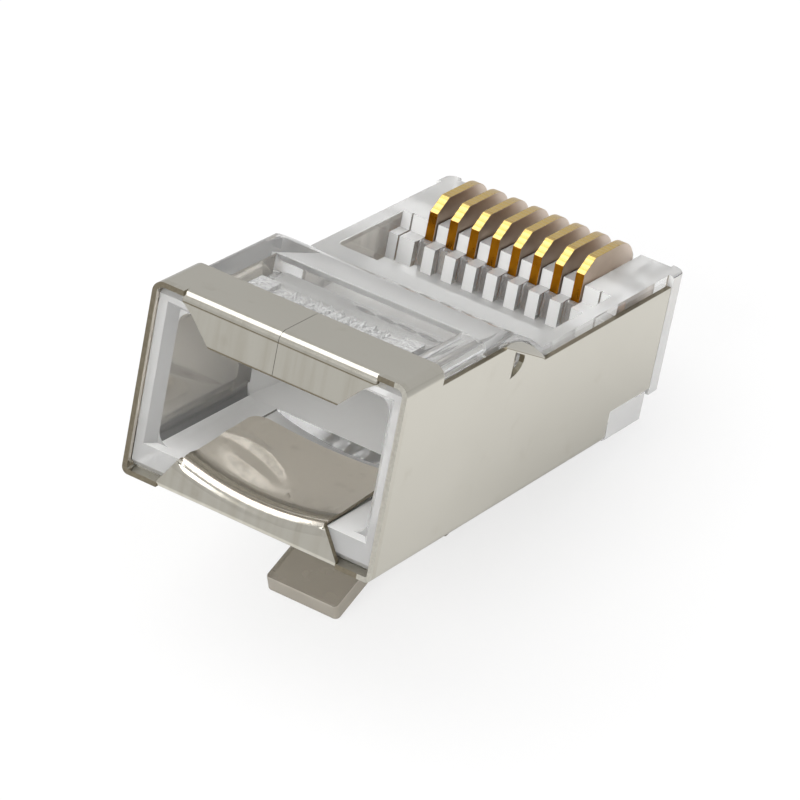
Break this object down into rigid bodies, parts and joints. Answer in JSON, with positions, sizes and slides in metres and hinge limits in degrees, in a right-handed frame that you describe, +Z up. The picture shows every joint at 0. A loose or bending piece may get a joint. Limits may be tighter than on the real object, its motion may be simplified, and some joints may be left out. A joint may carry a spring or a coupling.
{
  "type": "shielded modular plug",
  "caption": "Shielded modular plug before crimping: clear moulded housing, folded metal shield, gold contact blades and a latch lever below.",
  "frame": {"origin": "centre of the bounding box on the surface that the plug rests on", "axes": "+Z up, +X across the plug, +Y towards the nose, which dips about 17 degrees because the plug rests on its latch tip and nose-side knee"},
  "size_m": [0.0116, 0.024, 0.0153],
  "materials": {
    "clear_plastic": "clear polished polycarbonate",
    "nickel_sheet": "nickel plated sheet, satin",
    "gold_contact": "gold plated copper alloy"
  },
  "bodies": {
    "plug_body": {"housing": "clear_plastic", "shield": "nickel_sheet"},
    "latch": {"latch_lever": "clear_plastic"},
    "contact_1": {"contact_1": "gold_contact"},
    "contact_2": {"contact_2": "gold_contact"},
    "contact_3": {"contact_3": "gold_contact"},
    "contact_4": {"contact_4": "gold_contact"},
    "contact_5": {"contact_5": "gold_contact"},
    "contact_6": {"contact_6": "gold_contact"},
    "contact_7": {"contact_7": "gold_contact"},
    "contact_8": {"contact_8": "gold_contact"}
  },
  "joints": [
    {"name": "latch_flex", "type": "hinge", "parent": "plug_body", "child": "latch", "pos_m": [0, 0.00925, 0.00118], "axis": [-1, 0, 0], "range_deg": [0, 10], "stiffness_Nm_per_rad": 0.4},
    {"name": "contact_1_crimp", "type": "slide", "parent": "plug_body", "child": "contact_1", "axis": [0, -0.2969, -0.9549], "range_m": [0, 0.00163]},
    {"name": "contact_2_crimp", "type": "slide", "parent": "plug_body", "child": "contact_2", "axis": [0, -0.2969, -0.9549], "range_m": [0, 0.00163]},
    {"name": "contact_3_crimp", "type": "slide", "parent": "plug_body", "child": "contact_3", "axis": [0, -0.2969, -0.9549], "range_m": [0, 0.00163]},
    {"name": "contact_4_crimp", "type": "slide", "parent": "plug_body", "child": "contact_4", "axis": [0, -0.2969, -0.9549], "range_m": [0, 0.00163]},
    {"name": "contact_5_crimp", "type": "slide", "parent": "plug_body", "child": "contact_5", "axis": [0, -0.2969, -0.9549], "range_m": [0, 0.00163]},
    {"name": "contact_6_crimp", "type": "slide", "parent": "plug_body", "child": "contact_6", "axis": [0, -0.2969, -0.9549], "range_m": [0, 0.00163]},
    {"name": "contact_7_crimp", "type": "slide", "parent": "plug_body", "child": "contact_7", "axis": [0, -0.2969, -0.9549], "range_m": [0, 0.00163]},
    {"name": "contact_8_crimp", "type": "slide", "parent": "plug_body", "child": "contact_8", "axis": [0, -0.2969, -0.9549], "range_m": [0, 0.00163]}
  ]
}
